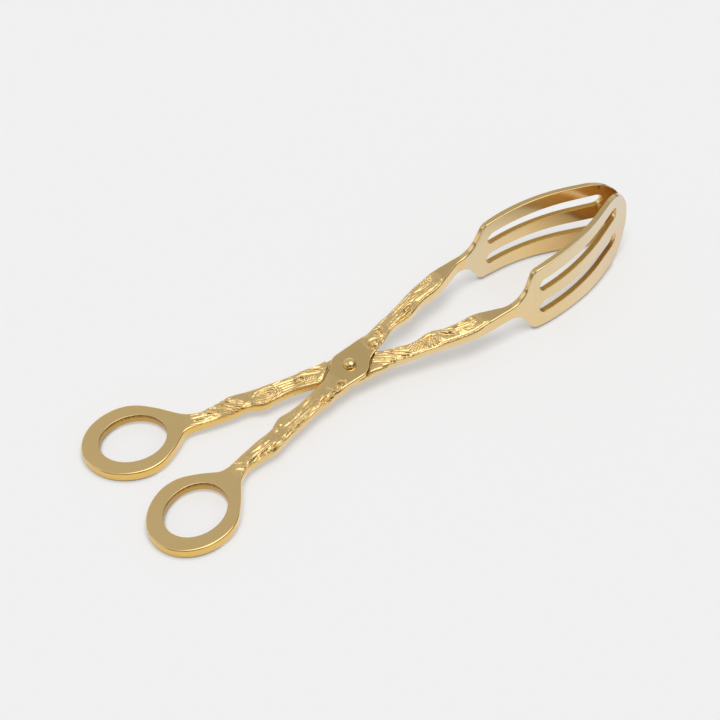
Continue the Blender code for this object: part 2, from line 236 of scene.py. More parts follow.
def smooth_line(points, spacing=0.7):
    """Points of a smooth curve through the given ones."""
    points = [Vector(p) for p in points]
    line = []
    for i in range(len(points) - 1):
        before, start = points[max(i - 1, 0)], points[i]
        end, after = points[i + 1], points[min(i + 2, len(points) - 1)]
        slope = end - before
        bend = 2 * before - 5 * start + 4 * end - after
        twist = 3 * start - before - 3 * end + after
        count = max(1, round((end - start).length / spacing))
        for k in range(count):
            t = k / count
            line.append(0.5 * (2 * start + slope * t + bend * t * t + twist * t**3))
    line.append(points[-1])
    return line


def arc(centre, rx, ry, start, end, steps):
    angles = [math.radians(start + (end - start) * k / steps) for k in range(steps + 1)]
    return [Vector((centre[0] + rx * math.cos(a), centre[1] + ry * math.sin(a))) for a in angles]


def rear_point(distance, offset):
    """The plan place at this distance along the rear shank's line and this offset to its outer side."""
    c, s = math.cos(SPREAD), math.sin(SPREAD)
    return Vector((-distance * c + offset * s, -distance * s - offset * c))


def by_rear_line(x, y):
    """The other way round: the distance along the rear shank's line, and the offset, of a plan place."""
    c, s = math.cos(SPREAD), math.sin(SPREAD)
    return -x * c - y * s, x * s - y * c


def at_finger_hole(distance, offset):
    long, wide = HOLE[0] + HOLE_MARGIN, HOLE[1] + HOLE_MARGIN
    return ((distance - RING_AT) / long) ** 2 + (offset / wide) ** 2 < 1


def plate_line():
    """The outer face of a paddle in plan, from y = 0, as (x, y, direction) at equal steps of its length."""
    line, x, y = [], SHOULDER_X, 0.0
    for k in range(PLATE_STEPS + 1):
        along = PADDLE * k / PLATE_STEPS
        bent = min(along / BENT_PART, 1)
        rest = max(along - BENT_PART, 0) / (PADDLE - BENT_PART)
        turn = math.radians(SHOULDER_TURN - BEND * bent - TIP_BEND * rest)
        line.append((x, y, turn))
        x += PADDLE / PLATE_STEPS * math.cos(turn)
        y += PADDLE / PLATE_STEPS * math.sin(turn)
    return line


PLATE = plate_line()


def plate_at(along):
    return PLATE[min(max(round(along / PADDLE * PLATE_STEPS), 0), PLATE_STEPS)]


def in_side_view(places):
    """Side view places (x, height) of what is given by its distance along the plate."""
    return [(plate_at(along)[0], height) for along, height in places]


def tip_round():
    """The half ellipse that ends a paddle, seen from the side: (distance along the plate, height)."""
    start = PADDLE - TIP_LENGTH
    return [(start + TIP_LENGTH * p.x, TIP_MIDDLE + TIP_HALF * p.y) for p in arc((0, 0), 1, 1, 90, -90, 48)]


def plate_inner(along):
    x, y, turn = plate_at(along)
    thickness = PLATE_THICK - PLATE_THINS * along / PADDLE
    return Vector((x + thickness * math.sin(turn), y - thickness * math.cos(turn)))


def plate_faces():
    """Both broad faces in plan, moved so that the leaning tips just meet in the middle of the tongs."""
    places = [0, *(PADDLE * (k + FACET_SHIFT) / FACETS for k in range(FACETS)), PADDLE]
    nearest = min(plate_inner(along).y - LEAN * height for along, height in tip_round())
    shift = Vector((0, TIP_GAP - nearest))
    return [Vector(plate_at(s)[:2]) + shift for s in places], [plate_inner(s) + shift for s in places]


def disc_runs(room=0.0):
    """The plan's two lines from the inner edges of the shanks onto the round of the disc."""
    front = smooth_line([(FRONT[0][0], FRONT[0][2]), *arc((0, 0), DISC, DISC + room, -30, -80, 10)])
    rear = smooth_line([rear_point(REAR[-1][0], -REAR[-1][2]), *arc((0, 0), DISC, DISC + room, 150, 100, 10)])
    return front, rear


def arm_plan():
    outer_face, inner_face = plate_faces()
    front_run, rear_run = disc_runs()
    front_inner = [Vector((x, inner)) for x, _, inner in reversed(FRONT)]
    front_outer = [Vector((x, outer)) for x, outer, _ in FRONT]
    rear_outer = [rear_point(d, outer) for d, outer, _ in reversed(REAR)]
    rear_inner = [rear_point(d, -inner) for d, _, inner in REAR]
    reach, side = HOLE[0] + BACK_BAND, HOLE[1] + SIDE_BAND
    band = [rear_point(RING_AT + reach * p.x, side * p.y) for p in arc((0, 0), 1, 1, 90, -90, 90)]
    loop = smooth_line([*reversed(inner_face), *front_inner]) + front_run[1:]
    loop += smooth_line([front_run[-1], *rear_outer, band[0]])[1:] + band[1:]
    loop += smooth_line([band[-1], *rear_inner])[1:] + rear_run[1:]
    loop += smooth_line([rear_run[-1], *front_outer, outer_face[0]])[1:] + outer_face[1:]
    return loop


def finger_hole():
    return [rear_point(RING_AT + HOLE[0] * p.x, HOLE[1] * p.y) for p in arc((0, 0), 1, 1, 0, 360, 160)[:-1]]


def side_view():
    top = [(BEHIND, HALF), *((x, HALF + more) for x, more in RISE)]
    top += arc(UPPER_NECK, NECK_R, NECK_R, -90, -22, 24)
    top += smooth_line([*UPPER_SHOULDER, *in_side_view(UPPER_EDGE)], 2.0)
    end = in_side_view(tip_round())
    bottom = smooth_line([*LOWER_SHOULDER, *in_side_view(LOWER_EDGE)][::-1], 2.0)
    bottom += arc(LOWER_NECK, NECK_R, NECK_R, 28, 90, 24)
    bottom += [*UNDERSIDE, (BEHIND, -HALF)]
    return [*top, *end[1:-1], *bottom]


def slot_view(first_height, last_height):
    first, last = SLOT_START + SLOT_R, PADDLE - SLOT_END - SLOT_R
    loop = []
    for centre, height, start in ((last, last_height, 90), (first, first_height, 270)):
        loop += in_side_view(arc((centre, height), SLOT_R, SLOT_R, start, start - 180, 24))
    return loop


def offset_line(line, distance):
    moved = []
    for i, point in enumerate(line):
        along = line[min(i + 1, len(line) - 1)] - line[max(i - 1, 0)]
        moved.append(point + Vector((-along.y, along.x)).normalized() * distance)
    return moved


def lap_plan(gap):
    """What the other arm's disc takes from this arm, in plan, with a gap all round."""
    front_run, rear_run = disc_runs(LAP_ROOM)
    rear_edge = [rear_point(d, -inner) for d, _, inner in REAR[-5:]]
    front_edge = [Vector((x, inner)) for x, _, inner in reversed(FRONT[:5])]
    rear_line = offset_line(smooth_line(rear_edge)[:-1] + [p for p in rear_run if p.x < REAR_RUN_END], gap)
    front_line = offset_line(smooth_line(front_edge)[:-1] + front_run, gap)
    return [
        *rear_line, (rear_line[-1].x, LAP_REACH), (front_line[0].x, LAP_REACH),
        *front_line, (front_line[-1].x, -LAP_REACH), (rear_line[0].x, -LAP_REACH),
    ]


def slab(name, outlines, low, high, from_side=False):
    """A flat curve, filled, extruded and made a mesh: upright on the plan, or along Y from the side view."""
    curve = bpy.data.curves.new(name, "CURVE")
    curve.dimensions = "2D"
    curve.fill_mode = "BOTH"
    curve.extrude = (high - low) / 2
    for outline in outlines:
        spline = curve.splines.new("POLY")
        spline.points.add(len(outline) - 1)
        for point, place_on_it in zip(spline.points, outline):
            point.co = (place_on_it[0], place_on_it[1], 0, 1)
        spline.use_cyclic_u = True
    drawn = bpy.data.objects.new(name, curve)
    bpy.context.scene.collection.objects.link(drawn)
    only(drawn)
    bpy.ops.object.convert(target="MESH")
    made = bpy.context.view_layer.objects.active
    made.data.transform(Matrix.Translation((0, 0, (high + low) / 2)))
    if from_side:
        made.data.transform(Matrix.Rotation(math.radians(90), 4, "X"))
    bpy.ops.object.mode_set(mode="EDIT")
    bpy.ops.mesh.select_all(action="SELECT")
    bpy.ops.mesh.remove_doubles(threshold=0.001)
    bpy.ops.mesh.normals_make_consistent(inside=False)
    bpy.ops.object.mode_set(mode="OBJECT")
    return made


def cut(piece, tool, operation="DIFFERENCE"):
    change = piece.modifiers.new("cut", "BOOLEAN")
    change.operation = operation
    change.solver = "EXACT"
    change.object = tool
    apply_modifiers(piece)
    bpy.data.objects.remove(tool)


def table_at(table, places, column=1):
    """A column of a table at these distances, which are in its first column."""
    rows = np.array(sorted(table))
    return np.interp(places, rows[:, 0], rows[:, column])


# Relief: each function takes plan places as an array of (x, y) and gives heights in millimetres


def step(low, high, value):
    t = np.clip((value - low) / (high - low), 0, 1)
    return t * t * (3 - 2 * t)


def rough(places, cell, seed):
    """Smooth random heights between -1 and 1 on a grid of this cell."""
    q = places / cell + seed * 17.3
    base = np.floor(q)
    f = q - base
    f = f * f * (3 - 2 * f)

    def corner(dx, dy):
        value = np.sin((base[:, 0] + dx) * 127.1 + (base[:, 1] + dy) * 311.7 + seed * 74.7) * 43758.5453
        return 2 * (value - np.floor(value)) - 1

    low = corner(0, 0) * (1 - f[:, 0]) + corner(1, 0) * f[:, 0]
    high = corner(0, 1) * (1 - f[:, 0]) + corner(1, 1) * f[:, 0]
    return low * (1 - f[:, 1]) + high * f[:, 1]


def turned(places, centre, degrees):
    """Places as (along, across) from a centre, along a direction."""
    a = math.radians(degrees)
    q = places - np.array(centre)
    return q[:, 0] * math.cos(a) + q[:, 1] * math.sin(a), q[:, 1] * math.cos(a) - q[:, 0] * math.sin(a)


def stroke(places, a, b, width, height, bow=0.0):
    """A ridge or a groove from a to b, bowed to its left by bow."""
    a, b = np.array(a, float), np.array(b, float)
    length = np.linalg.norm(b - a)
    u = (b - a) / length
    n = np.array((-u[1], u[0]))
    q = places - a
    s = np.clip(q @ u / length, 0, 1)
    line = a + np.outer(s, b - a) + np.outer(4 * bow * s * (1 - s), n)
    away = np.linalg.norm(places - line, axis=1)
    taper = 0.35 + 0.65 * np.sqrt(np.clip(4 * s * (1 - s), 0, 1))
    return height * taper * np.exp(-((away / (width * taper)) ** 2))


def eye(places, centre, size, degrees, rings, height, hollow=0.0):
    """A knot: oval rings round a centre, which can be a hollow."""
    u, v = turned(places, centre, degrees)
    r = np.sqrt((u / size[0]) ** 2 + (v / size[1]) ** 2)
    fade = 1 - step(0.75, 1.1, r)
    waves = np.cos(2 * math.pi * rings * r)
    return height * waves * fade - hollow * np.exp(-((r / 0.28) ** 2))


def patch(places, centre, size, degrees, inner=0.7, outer=1.1):
    """Places as (along, across) in an oval patch, and how much of each lies inside it."""
    u, v = turned(places, centre, degrees)
    r = np.sqrt((u / size[0]) ** 2 + (v / size[1]) ** 2)
    return u, v, 1 - step(inner, outer, r)


def grain(places, centre, size, degrees, pitch, height, sway=0.35, seed=1, bow=0.0):
    """Long ridges with grooves between them, which wander, fork and break off, inside an oval patch."""
    u, v, inside = patch(places, centre, size, degrees)
    wander = np.stack([u / 6.0, v / 2.5], axis=1)
    phase = (v + bow * u * u + sway * rough(wander, 1.0, seed)) / pitch
    ridges = 0.5 + 0.5 * np.cos(2 * math.pi * phase)
    broken = 0.62 + 0.38 * rough(np.stack([u / 3.6, phase * 0.9], axis=1), 1.0, seed + 3)
    return height * inside * (ridges**1.4 - 0.42) * broken


def beads(places, centre, size, degrees, pitch, height, seed=5):
    """Hammered dots inside an oval patch."""
    u, v, inside = patch(places, centre, size, degrees, 0.8, 1.05)
    jog = 0.3 * pitch * rough(places, pitch * 1.7, seed)
    dots = np.cos(2 * math.pi * (u + jog) / pitch) * np.cos(2 * math.pi * (v - jog) / pitch)
    return height * inside * dots


def ball(places, centre, radius, height):
    r = np.linalg.norm(places - np.array(centre), axis=1) / radius
    return height * np.sqrt(np.clip(1 - r**2, 0, 1)) - 0.3 * height * np.exp(-(((r - 1.15) / 0.2) ** 2))


def ringed(places, centre, radius, height):
    """A round knob: a raised ring, a groove inside it and a dot in the middle."""
    r = np.linalg.norm(places - np.array(centre), axis=1) / radius
    ring = np.exp(-(((r - 0.92) / 0.2) ** 2)) - 0.8 * np.exp(-(((r - 0.55) / 0.17) ** 2))
    return height * (ring + 1.1 * np.exp(-((r / 0.28) ** 2)))


def swell(places, centre, size, degrees, height):
    """A soft rise (or dip) with no edge."""
    u, v = turned(places, centre, degrees)
    return height * np.exp(-((u / size[0]) ** 2) - (v / size[1]) ** 2)


def upper_relief(p):
    """Bark and knots of the arm on top: its rear shank lies at negative y, its front shank at positive y."""
    h = 0.07 * rough(p, 3.1, 2) + 0.03 * rough(p, 1.3, 4)
    # rear, by the ring: a ridge across the neck, then a long carved knot with lines round it
    h += stroke(p, (-72.6, -15.4), (-68.2, -19.0), 1.0, 0.3)
    h += stroke(p, (-70.6, -14.2), (-66.8, -17.6), 0.5, -0.35)
    h += swell(p, (-65.4, -16.0), (1.8, 1.6), 0, 0.4)
    h += grain(p, (-58.0, -17.2), (9.0, 3.0), 7, 1.25, 0.55, 0.45, 21)
    h += stroke(p, (-66, -17.9), (-61, -17.5), 0.4, -0.5)
    h += stroke(p, (-60, -17.2), (-51.5, -16.6), 0.4, -0.55, 0.3)
    h += stroke(p, (-63, -19.6), (-50, -18.5), 0.4, -0.4, 0.2)
    h += swell(p, (-57.0, -12.8), (3.0, 1.4), 20, 0.5)
    h += stroke(p, (-62, -13.6), (-52, -13.0), 0.5, -0.25, -0.8)
    h += swell(p, (-46.6, -10.4), (1.0, 0.7), 0, 0.3)
    h += swell(p, (-43.4, -9.6), (0.7, 0.6), 0, -0.45)
    h += swell(p, (-39.6, -9.6), (2.4, 1.3), 30, 0.35)
    # rear, outer half: long grain; inner half: smooth, softly uneven
    h += grain(p, (-32.0, -13.4), (21.0, 3.1), 13.5, 1.12, 0.5, 0.25, 22)
    h += stroke(p, (-47, -16.2), (-16, -8.9), 0.42, -0.32, 0.3)
    h += grain(p, (-33.0, -8.6), (12.0, 2.6), 12, 1.9, 0.2, 0.5, 23)
    h += stroke(p, (-36, -9.6), (-24, -4.6), 0.6, 0.28, 0.4)
    h += stroke(p, (-22.5, -8.9), (-16.6, -8.9), 0.4, -0.45)
    h += swell(p, (-20.2, -7.6), (1.2, 0.8), 0, 0.35)
    h += stroke(p, (-16.2, -4.4), (-14.6, -10.2), 0.5, 0.24, 0.6)
    h += swell(p, (-15.3, -8.2), (0.6, 0.8), 0, 0.4)
    # a diamond-shaped knot hole behind the disc
    diamond = ((-12, -6.6), (-9.6, -4.8), (-7.2, -6.4), (-9.8, -8.0))
    for a, b in zip(diamond, (*diamond[1:], diamond[0])):
        h += stroke(p, a, b, 0.42, 0.38)
    h += swell(p, (-9.0, -6.4), (1.3, 0.75), 0, -0.8)
    # front: ball knob, ringed knob, long grain by the outer edge, an eye with a hole, an oval patch, a crease
    h += ball(p, (16.0, 2.7), 2.5, 1.25)
    h += swell(p, (17.4, 2.9), (1.0, 0.7), 0, -0.9)
    h += ringed(p, (21.1, 7.0), 2.4, 0.42)
    h += stroke(p, (22.4, 9.6), (24.4, 8.8), 0.35, -0.35, 0.3)
    h += grain(p, (35.0, 13.7), (14.0, 2.6), 13.5, 1.25, 0.32, 0.25, 31)
    h += grain(p, (31.5, 9.6), (6.5, 2.2), 17, 1.3, 0.27, 0.2, 32, -0.004)
    h += eye(p, (39.2, 10.0), (6.2, 2.7), 16, 1.9, 0.17)
    h += swell(p, (39.2, 9.9), (2.2, 0.65), 18, -1.0)
    h += stroke(p, (32.5, 8.2), (42.5, 8.8), 0.45, 0.28, -0.4)
    h += stroke(p, (30.5, 6.9), (38.5, 7.0), 0.38, -0.6, 0.2)
    h += stroke(p, (30.0, 6.0), (39.0, 6.2), 0.5, 0.3, -0.3)
    h += stroke(p, (42.0, 11.4), (60.0, 13.2), 0.5, 0.16, -0.4)
    h += stroke(p, (44.5, 10.3), (60.5, 11.9), 0.4, -0.08, -0.3)
    h += grain(p, (50.0, 13.4), (9.0, 1.8), 7, 1.3, 0.2, 0.25, 33)
    h += eye(p, (54.0, 17.0), (7.6, 2.5), 10, 1.0, -0.24)
    h += beads(p, (55.6, 17.5), (3.2, 1.7), 10, 1.5, 0.2)
    h += stroke(p, (47.0, 15.6), (57.0, 15.3), 0.5, 0.3, -0.3)
    h += stroke(p, (61.4, 18.6), (61.9, 13.0), 0.8, 0.14)
    h += stroke(p, (60.2, 18.0), (60.6, 13.0), 0.6, -0.12)
    return h


def lower_relief(p):
    """Bark and knots of the arm below: its rear shank lies at positive y, its front shank at negative y."""
    h = 0.07 * rough(p, 3.1, 5) + 0.03 * rough(p, 1.3, 6)
    # rear, by the ring: slanting ridges over a bright edge line
    h += grain(p, (-57.5, 14.0), (10.0, 5.0), -41, 1.75, 0.5, 0.4, 41)
    h += grain(p, (-67.0, 16.2), (6.0, 3.2), -20, 1.7, 0.28, 0.3, 42)
    h += stroke(p, (-67.5, 17.2), (-63.0, 14.6), 0.6, 0.4, 0.2)
    h += stroke(p, (-70.5, 15.6), (-66.0, 13.4), 0.6, 0.3, 0.2)
    h += stroke(p, (-76, 13.5), (-65, 11.6), 0.55, 0.5, -0.2)
    h += stroke(p, (-75, 12.5), (-66.5, 10.8), 0.4, -0.55)
    h += stroke(p, (-65, 11.2), (-50, 8.9), 0.6, 0.42, -0.2)
    h += stroke(p, (-60.5, 9.6), (-56.5, 8.9), 0.4, -0.5)
    h += swell(p, (-52.5, 16.9), (1.6, 1.1), 0, 0.45)
    h += stroke(p, (-55.0, 16.2), (-48.8, 11.8), 0.55, 0.4, 0.5)
    # a large eye, lines drawn past it, and a small eye
    h += eye(p, (-38.2, 8.4), (7.4, 3.2), -14, 2.9, 0.17, 0.1)
    h += stroke(p, (-42.5, 11.9), (-33.5, 10.4), 0.4, -0.45, 0.3)
    h += stroke(p, (-44.0, 7.6), (-40.0, 5.2), 0.45, -0.55, -0.3)
    h += stroke(p, (-46.0, 8.6), (-38.0, 4.4), 0.6, 0.4, -0.5)
    h += grain(p, (-29.0, 8.2), (7.5, 3.6), -11, 1.35, 0.42, 0.3, 43)
    h += eye(p, (-22.4, 6.6), (4.2, 1.9), -10, 1.5, 0.28)
    h += stroke(p, (-25.0, 7.1), (-20.4, 6.3), 0.38, -0.5)
    h += stroke(p, (-34.0, 5.2), (-17.0, 1.2), 0.6, 0.35, 0.3)
    h += beads(p, (-18.2, 3.5), (3.4, 1.8), -10, 1.4, 0.16)
    h += grain(p, (-15.4, 7.8), (5.8, 2.9), -27, 1.5, 0.5, 0.2, 44)
    h += stroke(p, (-16.5, 1.4), (-9.4, 4.6), 0.8, 0.35)
    # front: slanting grain, hammered dots, a bump, an oval of dots, a smooth winding ridge, a leaf, a crease
    h += grain(p, (18.0, -7.6), (12.0, 4.9), -33, 1.35, 0.42, 0.25, 51)
    h += grain(p, (22.0, -12.0), (8.0, 2.6), -22, 1.5, 0.4, 0.3, 52)
    h += stroke(p, (10.8, -9.6), (14.0, -10.8), 0.4, -0.5)
    h += stroke(p, (15.5, -11.0), (18.5, -12.2), 0.4, -0.5)
    h += beads(p, (29.5, -9.6), (5.0, 3.0), -20, 1.55, 0.17, 6)
    h += swell(p, (37.0, -7.2), (2.6, 1.2), -15, 0.45)
    h += stroke(p, (30.5, -8.2), (38.0, -9.4), 0.4, -0.5, -0.2)
    h += eye(p, (37.0, -12.2), (6.6, 3.2), -12, 1.0, -0.22)
    h += beads(p, (36.0, -12.4), (4.6, 2.4), -12, 1.55, 0.18, 8)
    h += swell(p, (40.4, -13.0), (1.6, 2.0), -20, 0.3)
    h += stroke(p, (39.5, -7.6), (46, -13.2), 1.1, 0.55, -0.6)
    h += stroke(p, (45.0, -12.8), (51.5, -17.4), 1.1, 0.5, 0.5)
    h += stroke(p, (41.2, -10.6), (48, -16.2), 0.45, -0.2, -0.5)
    h += stroke(p, (43, -9.6), (50, -12.8), 0.4, -0.28, -0.4)
    h += eye(p, (53.4, -13.3), (7.0, 3.1), -10, 1.0, -0.2)
    h += grain(p, (52.0, -14.0), (6.6, 2.8), -14, 1.12, 0.42, 0.15, 53)
    h += swell(p, (57.2, -12.9), (1.5, 1.2), 0, 0.45)
    h += stroke(p, (60.4, -12.4), (60.6, -18.5), 0.8, 0.13)
    h += stroke(p, (59.2, -12.4), (59.5, -18.0), 0.6, -0.1)
    return h


def shape_shanks(arm, side, relief):
    """Domes the tops of the shanks between their twig-like edges and presses the bark into them."""
    mesh = arm.data
    upper = side > 0
    co = read_all(mesh.vertices, "co", 3)
    x, y, z = co[:, 0], co[:, 1] * side, co[:, 2]
    away, off = by_rear_line(x, y)
    is_rear = x < 0

    # across runs from -1 at a shank's inner edge to 1 at its outer one, nearness from its far to its near one
    outer = np.where(is_rear, table_at(REAR, away), table_at(FRONT, x))
    inner = np.where(is_rear, -table_at(REAR, away, 2), table_at(FRONT, x, 2))
    across = (2 * np.where(is_rear, off, y) - outer - inner) / (outer - inner)
    nearness = across * side * np.where(is_rear, 1, -1)

    # how much of the dome and of the bark there is along each shank
    rear_start, front_start, bark_start = STARTS[side]
    rear_dome = step(*rear_start, away) * (1 - step(*REAR_DOME_END, away))
    front_dome = step(*front_start, x) * (1 - step(*FRONT_DOME_END, x))
    domed = np.where(is_rear, rear_dome, front_dome)
    rear_bark = step(*REAR_BARK_START, away) * (1 - step(*REAR_BARK_END, away))
    barked = np.where(is_rear, rear_bark, step(*bark_start, x)) * (1 - step(*BARK_END, x))

    overhang = OVERHANG * domed
    if upper:
        lips = sum(reach * np.exp(-(((x - at) / width) ** 2)) for at, width, reach in LIPS)
        overhang += step(*LIPS_START, x) * lips
    from_below = np.clip((z + HALF) / (2 * HALF), 0, 1)
    co[:, 1] -= overhang * np.clip(0.3 + nearness / 1.4, 0, 1) * from_below

    bark = (1.2 if upper else 1.35) * relief(co[:, :2])
    ridge = np.exp(-(((nearness - 0.87) / 0.08) ** 2))
    groove = 1.1 * np.exp(-(((nearness - 0.71) / 0.06) ** 2))
    bark += np.where(is_rear, 0.3, 0.2) * (ridge - groove) * (0.6 + 0.6 * rough(co[:, :2], 6.0, 61))

    flat_top = HALF + table_at(RISE, x)
    edge = np.clip(np.abs(across), 0, 1.1)
    tilt = (np.where(is_rear, 0.0, -0.3) if upper else 0.24) * np.clip(nearness, -1.1, 1.1)
    top = flat_top + domed * (0.1 - 0.55 * edge**3 - tilt)
    lifted = -HALF + (z + HALF) * (top + HALF) / (flat_top + HALF)
    on_top = step(0.25, 0.9, np.clip((z + HALF) / (flat_top + HALF), 0, 1.2))
    pressed = bark * barked * on_top
    on_shank = (away < SHANK_ENDS[0]) & (x < SHANK_ENDS[1])
    co[:, 2] = np.where(on_shank, lifted + pressed, z)
    mesh.vertices.foreach_set("co", co.ravel())
    # hollow carries the depth of the bark's recesses, which the gold's colour darkens as painted shade
    store(mesh, "hollow", "POINT", np.where(on_shank, -pressed, 0.0))
    store(mesh, "cast", "POINT", np.where(on_shank, np.clip(barked, 0, 1) * on_top, 0.0))
    mesh.update()


def select_faces(mesh, wanted):
    """Selects the faces whose centres (an array) satisfy the test, and nothing else."""
    mesh.vertices.foreach_set("select", np.zeros(len(mesh.vertices), bool))
    mesh.edges.foreach_set("select", np.zeros(len(mesh.edges), bool))
    mesh.polygons.foreach_set("select", wanted(read_all(mesh.polygons, "center", 3)))


def place(piece, hinge):
    piece.data.transform(hinge @ Matrix.Scale(MM, 4))
    piece.data.update()


def round_edges(arm, side):
    """Rounds every sharp edge: most on top of rings and shanks, less below, in holes and on the paddles."""
    edit = bmesh.new()
    edit.from_mesh(arm.data)
    layers = edit.edges.layers.float
    weight = layers.get("bevel_weight_edge") or layers.new("bevel_weight_edge")
    for edge in edit.edges:
        if len(edge.link_faces) == 2 and edge.calc_face_angle() > math.radians(35):
            middle = (edge.verts[0].co + edge.verts[1].co) / 2
            by_hole = at_finger_hole(*by_rear_line(middle.x, middle.y * side))
            below = middle.z < -1 and middle.x < 62
            on_paddle = min(max((middle.x - 84) / 12, 0), 1)
            edge[weight] = CRISP if by_hole or below else 1 - THIN * on_paddle
    edit.to_mesh(arm.data)
    edit.free()
    bevel = arm.modifiers.new("rounding", "BEVEL")
    bevel.width = ROUNDING
    bevel.segments = 5
    bevel.limit_method = "WEIGHT"
    bevel.use_clamp_overlap = False
    apply_modifiers(arm)


def in_order(parts):
    """Each of these parts once, in the order in which they come, so that every run gives the same mesh."""
    return list(dict.fromkeys(parts))


def close_cracks(arm):
    """Joins the hair cracks that the cuts leave where an edge runs past a corner on it."""
    edit = bmesh.new()
    edit.from_mesh(arm.data)
    open_edges = [e for e in edit.edges if e.is_boundary]
    corners = in_order(v for e in open_edges for v in e.verts)
    for edge in open_edges:
        start, end = edge.verts
        run = end.co - start.co
        spots = []
        for corner in corners:
            if corner in (start, end):
                continue
            t = (corner.co - start.co).dot(run) / max(run.length_squared, 1e-12)
            if 0 < t < 1 and (start.co + run * t - corner.co).length < HAIR:
                spots.append(t)
        done = 0.0
        for t in sorted(spots):
            _, made = bmesh.utils.edge_split(edge, start, (t - done) / (1 - done))
            edge = next(e for e in made.link_edges if end in e.verts)
            corners.append(made)
            start, done = made, t
    bmesh.ops.remove_doubles(edit, verts=corners, dist=HAIR + 0.001)
    edit.to_mesh(arm.data)
    edit.free()


def slice_faces(edit, faces, direction, places):
    """Cuts the faces at each place along a direction, the middle one first, and gives all the pieces."""
    if not places or not faces:
        return faces
    middle = len(places) // 2
    at = places[middle]
    crossing, whole = [], []
    for face in faces:
        spots = [v.co.dot(direction) for v in face.verts]
        (crossing if min(spots) < at - 1e-4 and max(spots) > at + 1e-4 else whole).append(face)
    if crossing:
        edges = in_order(e for f in crossing for e in f.edges)
        geometry = [*crossing, *edges, *in_order(v for f in crossing for v in f.verts)]
        made = bmesh.ops.bisect_plane(edit, geom=geometry, plane_co=direction * at, plane_no=direction)
        whole += [part for part in made["geom"] if isinstance(part, bmesh.types.BMFace)]
    low, high = [], []
    for face in whole:
        (low if face.calc_center_median().dot(direction) < at else high).append(face)
    low = slice_faces(edit, low, direction, places[:middle])
    return low + slice_faces(edit, high, direction, places[middle + 1:])


def grid_places(low, high):
    return [low + GRID * k for k in range(int((high - low) / GRID) + 1)]


def grid_top(arm, side):
    """Cuts the flat tops of both shanks into a fine grid along each shank, ready for the bark."""
    c, s = math.cos(SPREAD), math.sin(SPREAD)
    shanks = (
        (Vector((-c, -s * side, 0)), Vector((s, -c * side, 0)), GRID_REAR, (-13.0, 8.0)),
        (Vector((1, 0, 0)), Vector((0, side, 0)), GRID_FRONT, (-1.0, 21.0)),
    )
    edit = bmesh.new()
    edit.from_mesh(arm.data)
    tops = [f for f in edit.faces if f.normal.z > 0.95 and f.calc_center_median().z > 1.5]
    tops = slice_faces(edit, tops, Vector((1, 0, 0)), [1.0])
    for along, off, (near, far), (low, high) in shanks:
        here = [f for f in tops if (f.calc_center_median().x - 1) * along.x > 0]
        here = slice_faces(edit, here, along, grid_places(near, far))
        here = [f for f in here if near < f.calc_center_median().dot(along) < far]
        slice_faces(edit, here, off, grid_places(low, high))
    edit.to_mesh(arm.data)
    edit.free()


def mark_finishes(arm, side):
    """Marks, from 0 to 1, where the gold is sawn, and where reflection, interreflection and shade are
    painted: a painted reflection of the pale floor on the paddles, painted shade between the tips and painted
    reflected shadow under them, a painted deeper-gold interreflection on the rear walls, and painted dark
    shade at the top of the finger holes' walls and in the lap gap.
    """
    mesh = arm.data
    centres, normals = read_all(mesh.polygons, "center", 3), read_all(mesh.polygons, "normal", 3)
    x, y, z = centres[:, 0], centres[:, 1] * side, centres[:, 2]
    in_hole = at_finger_hole(*by_rear_line(x, y))
    steep = np.abs(normals[:, 2]) < 0.6
    by_slot = (x > SHOULDER_X + 2) & (x < SHOULDER_X + PADDLE - 8) & (z > -11) & (z < 14)
    slot_wall = by_slot & (np.abs(normals[:, 0]) < 0.6) & (np.abs(normals[:, 1]) < 0.65)
    store(mesh, "sawn", "FACE", (in_hole & steep) | slot_wall)

    # the rest goes corner by corner, so that it can fade over a long face
    corners = read_all(mesh.polygons, "loop_total", kind=np.int32)
    co = read_all(mesh.vertices, "co", 3)[read_all(mesh.loops, "vertex_index", kind=np.int32)]
    along, high = np.clip((co[:, 0] - NECK_X) / TO_TIPS, 0, 1), (co[:, 2] + PADDLE_HALF) / (2 * PADDLE_HALF)
    outward = np.repeat(normals[:, 1] * side, corners)
    outside, inside = outward > 0.3, outward < -0.3
    # painted reflection of the pale floor: paler gold on the paddles' faces, growing towards the tips outside
    # and fading towards the bottom, where the floor they reflect lies in shadow
    reflected_floor_outside = (0.45 + 0.75 * along) * (0.25 + 0.75 * high)
    pale = np.where(outside, reflected_floor_outside, np.where(inside, 0.8 - 1.6 * along, 0)) * (along > 0)
    store(mesh, "pale", "CORNER", np.clip(pale, 0, 1))
    # painted shade between the tips inside, and painted reflected shadow low at the tip outside
    shade_between_tips = np.clip((along - 0.45) / 0.45, 0, 1)
    reflected_shadow_under_tip = 0.45 * (np.clip((along - 0.6) / 0.3, 0, 1) * (1 - high))
    store(mesh, "painted_tip_shade", "CORNER", np.where(inside, shade_between_tips, np.where(outside, reflected_shadow_under_tip, 0)))

    upright, hole_wall = np.repeat(steep, corners), np.repeat(in_hole, corners)
    # painted interreflection: a deeper gold on the upright walls behind the rivet
    store(mesh, "painted_wall_bounce", "CORNER", upright * ~hole_wall * np.clip((-6 - co[:, 0]) / 10, 0, 1))
    # painted shadow in the lap gap of the lower arm, and painted shade darker towards the top of the finger
    # holes' walls
    by_lap = (np.hypot(co[:, 0], co[:, 1]) < NEAR_LAP) & (side < 0)
    lap_gap_shadow = np.where(by_lap, np.clip(co[:, 2] + 0.6, 0, 0.8), 0)
    hole_top_shade = np.clip((co[:, 2] + HALF) / (2 * HALF), 0, 1)
    store(mesh, "painted_wall_shade", "CORNER", upright * np.where(hole_wall, hole_top_shade, lap_gap_shadow))


